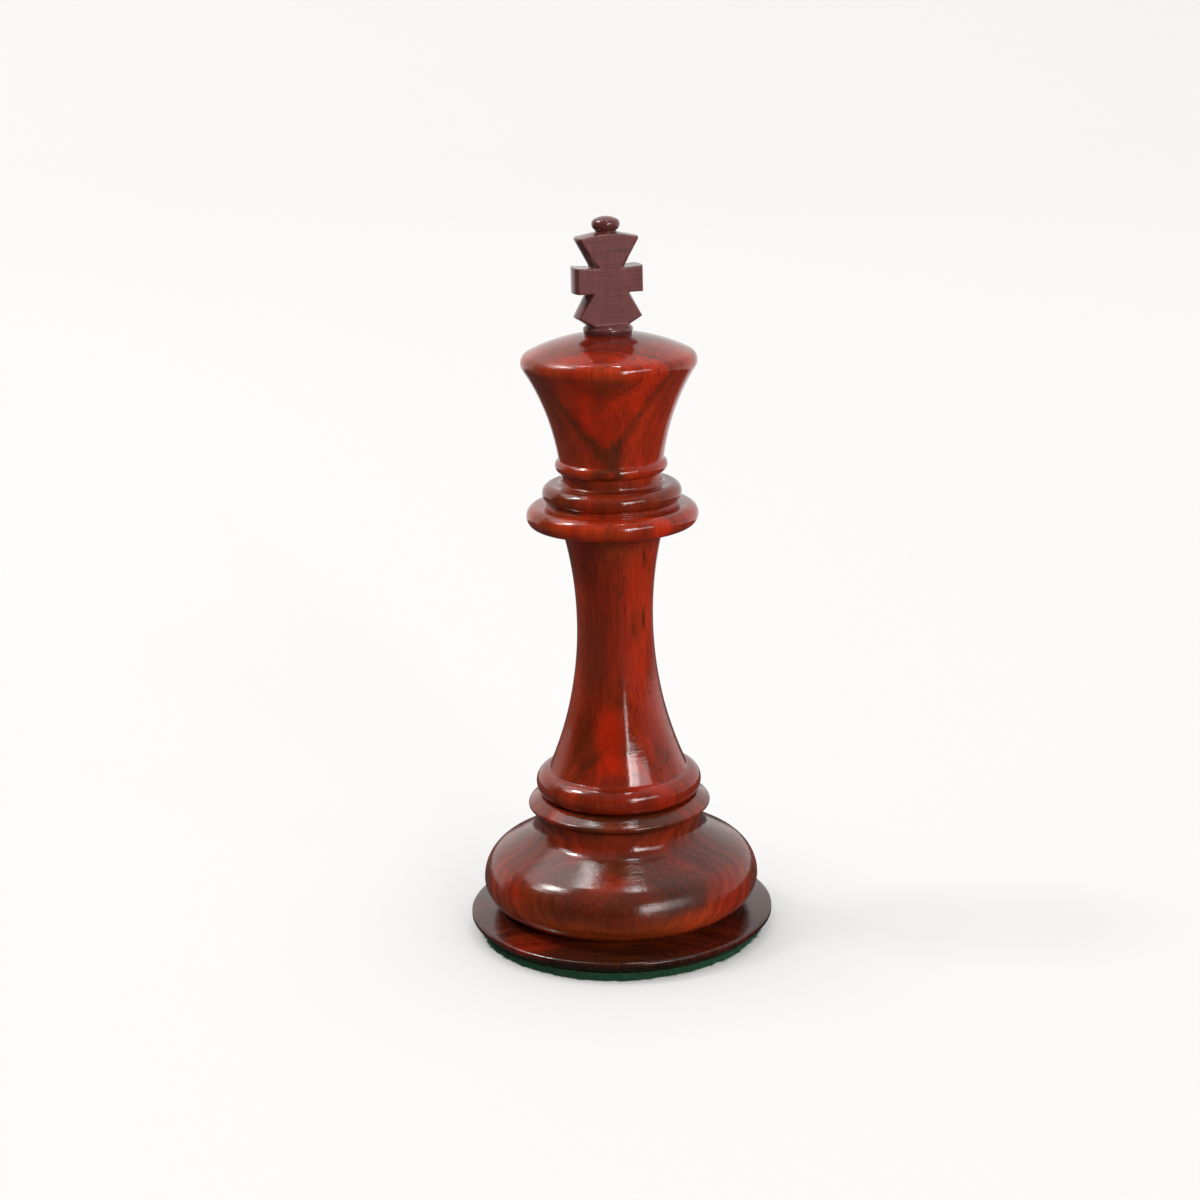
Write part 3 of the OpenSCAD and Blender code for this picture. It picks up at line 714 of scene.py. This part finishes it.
def lowerPath(s, zJoint):
    points = [(0, zJoint - s["tenonLength"]), (s["tenon"], zJoint - s["tenonLength"]), (s["tenon"], zJoint)]
    start = -math.degrees(math.asin(s["beadMiddle"] / s["beadRound"]))
    points += arc((s["bead"] - s["beadRound"], zJoint + s["beadMiddle"]), s["beadRound"], start, s["beadEnd"])
    zWaist = zJoint + s["beadHeight"] + s["stemLow"]
    lowest = math.degrees(math.asin((zWaist - points[-1][1]) / s["stemSweep"]))
    highest = math.degrees(math.asin(s["stemTop"] / s["stemSweep"]))
    points += arc((s["waist"] + s["stemSweep"], zWaist), s["stemSweep"], 180 + lowest, 180 - highest,
                  s["stemStep"])[1:]
    under = math.radians(s["collarUnder"])
    centre = s["collar"] - s["collarNose"]
    reach = centre + s["collarNose"] * math.sin(under) - points[-1][0]
    zCollar = points[-1][1] + reach * math.tan(under) + s["collarNose"] * math.cos(under)
    points += arc((centre, zCollar), s["collarNose"], s["collarUnder"] - 90, 90 - s["collarTop"])
    zStep = points[-1][1] + (points[-1][0] - s["step"]) * math.tan(math.radians(s["collarTop"]))
    return points + [(s["step"], zStep), (s["step"], zStep + s["stepHeight"])]


def upperPath(s, zTorusLow):
    low = math.degrees(math.asin(s["torusMiddle"] / s["torusRound"]))
    high = math.degrees(math.asin((s["torusHeight"] - s["torusMiddle"]) / s["torusRound"]))
    torusCentre = (s["torus"] - s["torusRound"], zTorusLow + s["torusMiddle"])
    points = arc(torusCentre, s["torusRound"], -low, 180 - high)
    zNeck = zTorusLow + s["torusHeight"]
    points += arc((s["neck"] + s["neckCove"], zNeck + s["neckCove"]), s["neckCove"], 270, 180)
    zSmall = zNeck + s["neckHeight"] + s["smallHeight"] / 2
    smallCentre = s["smallBead"] - s["smallRound"]
    start = math.degrees(math.acos((s["neck"] - smallCentre) / s["smallRound"]))
    end = math.degrees(math.asin(s["smallHeight"] / 2 / s["smallRound"]))
    points += arc((smallCentre, zSmall), s["smallRound"], -start, end)
    foot = Vector((s["headFoot"], zSmall + s["smallHeight"] / 2))
    rim = Vector((s["head"] - s["rimRound"], foot.y + s["headHeight"]))
    along = (rim - foot).normalized()
    gap = (rim - foot).length
    share = (s["headSweep"] ** 2 - (s["headSweep"] + s["rimRound"]) ** 2 + gap ** 2) / (2 * gap)
    flank = foot + along * share + Vector((along.y, -along.x)) * math.sqrt(s["headSweep"] ** 2 - share ** 2)
    footAngle = math.degrees(math.atan2(foot.y - flank.y, foot.x - flank.x)) % 360
    rimAngle = math.degrees(math.atan2(rim.y - flank.y, rim.x - flank.x)) % 360
    points += arc(flank, s["headSweep"], footAngle, rimAngle, s["headStep"])[1:]
    zDome = rim.y - math.sqrt((s["dome"] - s["rimRound"]) ** 2 - rim.x ** 2)
    domeAngle = math.degrees(math.atan2(rim.y - zDome, rim.x))
    points += arc(rim, s["rimRound"], rimAngle - 180, domeAngle)[1:]
    zEdge = zDome + math.sqrt(s["dome"] ** 2 - s["seat"] ** 2)
    edgeAngle = math.degrees(math.atan2(zEdge - zDome, s["seat"]))
    points += arc((0, zDome), s["dome"], domeAngle, edgeAngle, s["headStep"])[1:]
    zSeat = zDome + math.sqrt(s["dome"] ** 2 - s["seatEdge"] ** 2) - s["seatSink"]
    zSocket = zSeat - s["socketDepth"]
    return points + [(s["seat"], zSeat), (s["socket"], zSeat), (s["socket"], zSocket), (0, zSocket)]


path = lowerPath(turnedBody, zJoint)
path += upperPath(turnedBody, path[-1][1])
kingBody = turnPiece("kingBody", path, turnedBody, bodyFinish)
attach(kingBody, "root")
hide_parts("body")
print("body turned")


# finial: the sawn cross, its edges softened by sanding

sandedFinial = {"weld": 1e-6, "grainMm": 0.09, "strength": 0.5, "passes": 5}


def sandCopy(name, node, s, finish):
    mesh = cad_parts[node].data.copy()
    shape = bmesh.new()
    shape.from_mesh(mesh)
    bmesh.ops.remove_doubles(shape, verts=shape.verts, dist=s["weld"])
    shape.to_mesh(mesh)
    shape.free()
    mesh.materials.clear()
    mesh.materials.append(finish)
    piece = newObject(name, mesh)
    remesh = piece.modifiers.new("remesh", "REMESH")
    remesh.mode = "VOXEL"
    remesh.voxel_size = s["grainMm"] * mm
    sand = piece.modifiers.new("sand", "SMOOTH")
    sand.factor = s["strength"]
    sand.iterations = s["passes"]
    return settle(piece)


kingFinial = sandCopy("kingFinial", "cross_finial", sandedFinial, finialFinish)
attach(kingFinial, "root")
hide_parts("cross_finial")
print("finial sanded")


# felt: a disc with a wavering cut edge that bulges a little on one side, and the fuzz along it

feltDisc = {
    "radius": 21.7, "edgeRound": 0.25, "edgeStep": 0.1, "rings": 14, "sides": 420,
    "edgeWaver": 0.30, "seed": 7.0,
    "waves": ((3, 0.35, 0.4), (7, 0.3, 2.1), (16, 0.2, 4.4), (41, 0.2, 1.3), (67, 0.15, 0.2)),
    "bulge": 0.50, "bulgeAt": 235.0,
    "stillShare": 0.85, "waverShare": 0.15,     # the outer share of the disc wavers with its edge
}


# each wave has its count round the disc, its size and where it starts
def edgeShift(angle, s):
    waver = sum(size * math.sin(count * angle + start + s["seed"]) for count, size, start in s["waves"])
    bulge = max(0.0, math.cos(angle - math.radians(s["bulgeAt"]))) ** 2
    return s["edgeWaver"] * waver + s["bulge"] * bulge


def makeFelt(s, thick, finish):
    shape = bmesh.new()
    e = s["edgeRound"]
    inner = [(s["radius"] - e) * k / s["rings"] for k in range(s["rings"])]
    section = [(r, 0.0) for r in inner] + arc((s["radius"] - e, e), e, -90, 0, s["edgeStep"])
    section += arc((s["radius"] - e, thick - e), e, 0, 90, s["edgeStep"])
    section += [(r, thick) for r in reversed(inner)]
    rows = []
    for i in range(s["sides"]):
        angle = math.tau * i / s["sides"]
        shift = edgeShift(angle, s)
        row = []
        for r, z in section:
            reach = r + shift * max(0.0, (r / s["radius"] - s["stillShare"]) / s["waverShare"])
            row.append(shape.verts.new((reach * math.cos(angle) * mm, reach * math.sin(angle) * mm, z * mm)))
        rows.append(row)
    for a, b in zip(rows, rows[1:] + rows[:1]):
        for k in range(len(section) - 1):
            shape.faces.new((a[k], b[k], b[k + 1], a[k + 1]))
    mesh = bpy.data.meshes.new("feltFoot")
    shape.to_mesh(mesh)
    shape.free()
    mesh.materials.append(finish)
    return settle(newObject("feltFoot", mesh))


# sizes in mm; a hair's bend is in shares of its length
feltFuzz = {
    "perMm2": 16.0, "long": 0.55, "thick": 0.022, "edgeFrom": 21.2, "lowest": 0.02, "seed": 11,
    "bend": {"Start": (0, 0, -0.1), "Start Handle": (0, 0, 0.4), "End Handle": (0.5, 0, 0.7),
             "End": (0.9, 0, 0.75), "Resolution": 3},
    "sides": 3, "tilt": (0.9, 0.9, 3.14), "shortest": 0.35,
}


def fuzzTree(s):
    tree, given, result = newTree("growFuzz", "GeometryNodeTree", [
        ("Cloth", "Geometry", None), ("Density", "Float", 1.0),
        ("Edge From", "Float", 0.0), ("Length", "Float", 0.001),
        ("Thickness", "Float", 0.0001), ("Lowest", "Float", 0.0),
        ("Seed", "Int", 0), ("Finish", "Material", None)],
        [("Fuzz", "Geometry")])
    here = place(tree, "GeometryNodeInputPosition").outputs[0]
    reach = vectorCalc(tree, "LENGTH", vectorCalc(tree, "MULTIPLY", here, (1.0, 1.0, 0.0)))
    onEdge = calc(tree, "GREATER_THAN", reach, given["Edge From"])
    points = place(tree, "GeometryNodeDistributePointsOnFaces", None, {
        "Mesh": given["Cloth"], "Selection": onEdge, "Density": given["Density"],
        "Seed": given["Seed"]}).outputs
    bent = place(tree, "GeometryNodeCurvePrimitiveBezierSegment", None, s["bend"])
    outline = place(tree, "GeometryNodeCurvePrimitiveCircle", None, {"Resolution": s["sides"], "Radius": 1.0})
    slim = place(tree, "GeometryNodeTransform", None, {
        "Geometry": outline.outputs[0], "Scale": calc(tree, "DIVIDE", given["Thickness"], given["Length"])})
    hair = place(tree, "GeometryNodeCurveToMesh", None, {
        "Curve": bent.outputs[0], "Profile Curve": slim.outputs[0], "Fill Caps": True})
    spin = place(tree, "FunctionNodeRandomValue", {"data_type": "FLOAT_VECTOR"}, {
        0: tuple(-most for most in s["tilt"]), 1: s["tilt"], "Seed": given["Seed"]}).outputs[0]
    turned = place(tree, "FunctionNodeRotateRotation", {"rotation_space": "LOCAL"},
                   {0: points["Rotation"], 1: spin}).outputs[0]
    size = place(tree, "FunctionNodeRandomValue", {"data_type": "FLOAT"},
                 {2: s["shortest"], 3: 1.0, "Seed": given["Seed"]}).outputs[1]
    hairs = place(tree, "GeometryNodeInstanceOnPoints", None, {
        "Points": points["Points"], "Instance": hair.outputs[0], "Rotation": turned,
        "Scale": calc(tree, "MULTIPLY", size, given["Length"])})
    whole = place(tree, "GeometryNodeRealizeInstances", None, {0: hairs.outputs[0]})
    split = splitXyz(tree, here)
    lifted = joinXyz(tree, split["X"], split["Y"], calc(tree, "MAXIMUM", split["Z"], given["Lowest"]))
    laid = place(tree, "GeometryNodeSetPosition", None, {"Geometry": whole.outputs[0], "Position": lifted})
    finished = place(tree, "GeometryNodeSetMaterial", None,
                     {"Geometry": laid.outputs[0], "Material": given["Finish"]})
    tree.links.new(finished.outputs[0], result[0])
    return tree


feltFoot = makeFelt(feltDisc, feltTop, feltGreen)
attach(feltFoot, "root")
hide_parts("felt_pad")
fuzz = applyTree(newObject("feltFuzz", feltFoot.data.copy()), fuzzTree(feltFuzz), {
    "Density": feltFuzz["perMm2"] / mm ** 2, "Edge From": feltFuzz["edgeFrom"] * mm,
    "Length": feltFuzz["long"] * mm, "Thickness": feltFuzz["thick"] * mm, "Lowest": feltFuzz["lowest"] * mm,
    "Seed": feltFuzz["seed"], "Finish": feltGreen})
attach(fuzz, "root")
print("felt cut and fuzzed")


# hidden pieces inside the base keep their CAD shape

hiddenFinishes = {
    "base_weight": metalFinish("sawnSteel", weightSteel),
    "weight_plug": satinWood("bareWood", plugWood, sawnGrain),
}
for node, finish in hiddenFinishes.items():
    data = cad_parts[node].data
    data.materials.clear()
    data.materials.append(finish)
print("hidden pieces finished")


# floor, backdrop and lights

studio = {
    "floorColour": (0.19, 0.187, 0.185), "floorRoughness": 0.8,
    "liftColour": (1.0, 0.99, 0.98), "floorLift": 0.73,             # pale to the eye only
    "mirroredFloor": (0.03, 0.028, 0.027),                          # lacquer mirrors the near floor dark
    "paleFrom": 0.165, "paleTo": 0.21, "paleSide": 20.0, "glossLift": 0.95,     # and the far floor pale
    "contact": 0.7, "contactReach": 0.035, "contactSamples": 4,     # shade close under the king
    "halfWidth": 3.0, "front": -2.0, "back": 1.4, "curve": 0.5, "curveStep": 6, "wall": 1.6,
    "worldFront": 0.025, "worldBack": 0.75, "worldTop": 0.3, "worldLight": 0.5, "worldSeen": 1.0,
    "brightSide": 30.0,                                             # degrees right of straight back
    "worldTurn": (-0.35, 0.75), "worldRise": (0.3, 0.95),
    "lampDistance": 2.4, "lampAim": (0, 0, 0.05),
}


# the floor runs back and curves up into the backdrop
def floorMesh(s):
    flatEnd = s["back"] - s["curve"]
    section = [(s["front"], 0.0), (flatEnd, 0.0)]
    for angle in range(s["curveStep"], 91, s["curveStep"]):
        a = math.radians(angle)
        section.append((flatEnd + s["curve"] * math.sin(a), s["curve"] - s["curve"] * math.cos(a)))
    section.append((s["back"], s["wall"]))
    turn = Matrix.Rotation(-math.radians(cameraView["azimuth"]), 4, "Z")
    shape = bmesh.new()
    left, right = ([shape.verts.new(turn @ Vector((x, y, z))) for y, z in section]
                   for x in (-s["halfWidth"], s["halfWidth"]))
    for k in range(len(section) - 1):
        face = shape.faces.new((left[k], right[k], right[k + 1], left[k + 1]))
        face.smooth = True
    mesh = bpy.data.meshes.new("floor")
    shape.to_mesh(mesh)
    shape.free()
    return mesh


def floorFinish(s):
    material, tree, shader = newMaterial("paleFloor")
    shader.inputs["Roughness"].default_value = s["floorRoughness"]
    shader.inputs["Emission Color"].default_value = (*s["liftColour"], 1.0)
    rays = place(tree, "ShaderNodeLightPath").outputs
    colour = blendTo(tree, (*s["floorColour"], 1.0), rays["Is Glossy Ray"], s["mirroredFloor"])
    tree.links.new(colour, shader.inputs["Base Color"])
    openness = place(tree, "ShaderNodeAmbientOcclusion", {"samples": s["contactSamples"]},
                     {"Distance": s["contactReach"]}).outputs["AO"]
    lift = spread(tree, openness, 0.0, 1.0, s["floorLift"] * (1 - s["contact"]), s["floorLift"])
    looked = calc(tree, "ADD", rays["Is Camera Ray"], rays["Is Transmission Ray"])
    back = splitXyz(tree, coordinates(tree, (1, 1, 1), cameraView["azimuth"] + s["paleSide"]))["Y"]
    pale = spread(tree, back, s["paleFrom"], s["paleTo"], 0.0, s["glossLift"])
    shown = calc(tree, "ADD", calc(tree, "MULTIPLY", looked, lift),
                 calc(tree, "MULTIPLY", rays["Is Glossy Ray"], pale))
    tree.links.new(shown, shader.inputs["Emission Strength"])
    return material


# the world is brightest behind the king, white to the eye and weaker as light than as a reflection
def makeWorld(s):
    world = bpy.data.worlds.new("studio")
    bpy.context.scene.world = world
    world.use_nodes = True
    tree = world.node_tree
    turned = place(tree, "ShaderNodeMapping", None, {
        "Vector": place(tree, "ShaderNodeTexCoord").outputs["Generated"],
        "Rotation": (0, 0, math.radians(cameraView["azimuth"] + s["brightSide"]))})
    split = splitXyz(tree, turned.outputs[0])
    glow = spread(tree, split["Y"], *s["worldTurn"], s["worldFront"], s["worldBack"], soft=True)
    above = spread(tree, split["Z"], *s["worldRise"], 0.0, s["worldTop"])
    rays = place(tree, "ShaderNodeLightPath").outputs
    part = spread(tree, rays["Is Glossy Ray"], 0.0, 1.0, s["worldLight"], 1.0)
    lit = calc(tree, "MULTIPLY", calc(tree, "ADD", glow, above), part)
    looked = calc(tree, "ADD", rays["Is Camera Ray"], rays["Is Transmission Ray"], clamp=True)
    level = place(tree, "ShaderNodeMix", {"data_type": "FLOAT"},
                  {"Factor": looked, "A": lit, "B": s["worldSeen"]})
    background = tree.nodes["Background"].inputs
    background["Color"].default_value = (1.0, 1.0, 1.0, 1.0)
    tree.links.new(level.outputs["Result"], background["Strength"])


# azimuth and elevation, width and height as angles, glow and kind; azimuth 0 is the camera's side and
# counts to the right, and lacquer doesn't mirror a matte lamp
lamps = {
    "leftSoftbox": (-110, 55, 46, 30, 2.1, "round"),
    "leftCore": (-94, 54, 9.5, 8.5, 60.0, "round"),
    "leftLow": (-92, 42, 12, 12, 7.0, "round"),
    "leftFill": (-75, 35, 40, 36, 0.3, "matte"),
    "rightEdge": (20.5, 17, 3, 30, 13.0, "square"),
    "rightPanel": (27, 24, 14, 16, 12.5, "square"),
    "rightScreen": (45, 24, 22, 16, 4.2, "square"),
    "rightFill": (54, 16, 44, 36, 0.8, "matte"),
    "topLeftSpot": (-125, 72, 10, 8, 11.0, "round"),
    "topSpot": (100, 84, 18, 3, 28.0, "round"),
}


def makeLamp(name, azimuth, elevation, wide, tall, glow, kind):
    data = bpy.data.lights.new(name, "AREA")
    away = studio["lampDistance"]
    data.shape = "ELLIPSE" if kind == "round" else "RECTANGLE"
    data.size = 2 * away * math.tan(math.radians(wide / 2))
    data.size_y = 2 * away * math.tan(math.radians(tall / 2))
    filled = math.pi / 4 if kind == "round" else 1.0
    data.energy = glow * math.pi * data.size * data.size_y * filled
    lamp = newObject(name, data)
    lamp.visible_glossy = kind != "matte"
    a = math.radians(azimuth - cameraView["azimuth"])
    e = math.radians(elevation)
    towards = Vector((math.sin(a) * math.cos(e), -math.cos(a) * math.cos(e), math.sin(e)))
    turn = towards.to_track_quat("Z", "Y").to_matrix().to_4x4()
    lamp.matrix_world = Matrix.Translation(Vector(studio["lampAim"]) + towards * away) @ turn


floor = newObject("floor", floorMesh(studio))
floor.data.materials.append(floorFinish(studio))
makeWorld(studio)
for lampName, lampValues in lamps.items():
    makeLamp(lampName, *lampValues)
bpy.context.scene.view_settings.view_transform = "Standard"
print("studio lit")
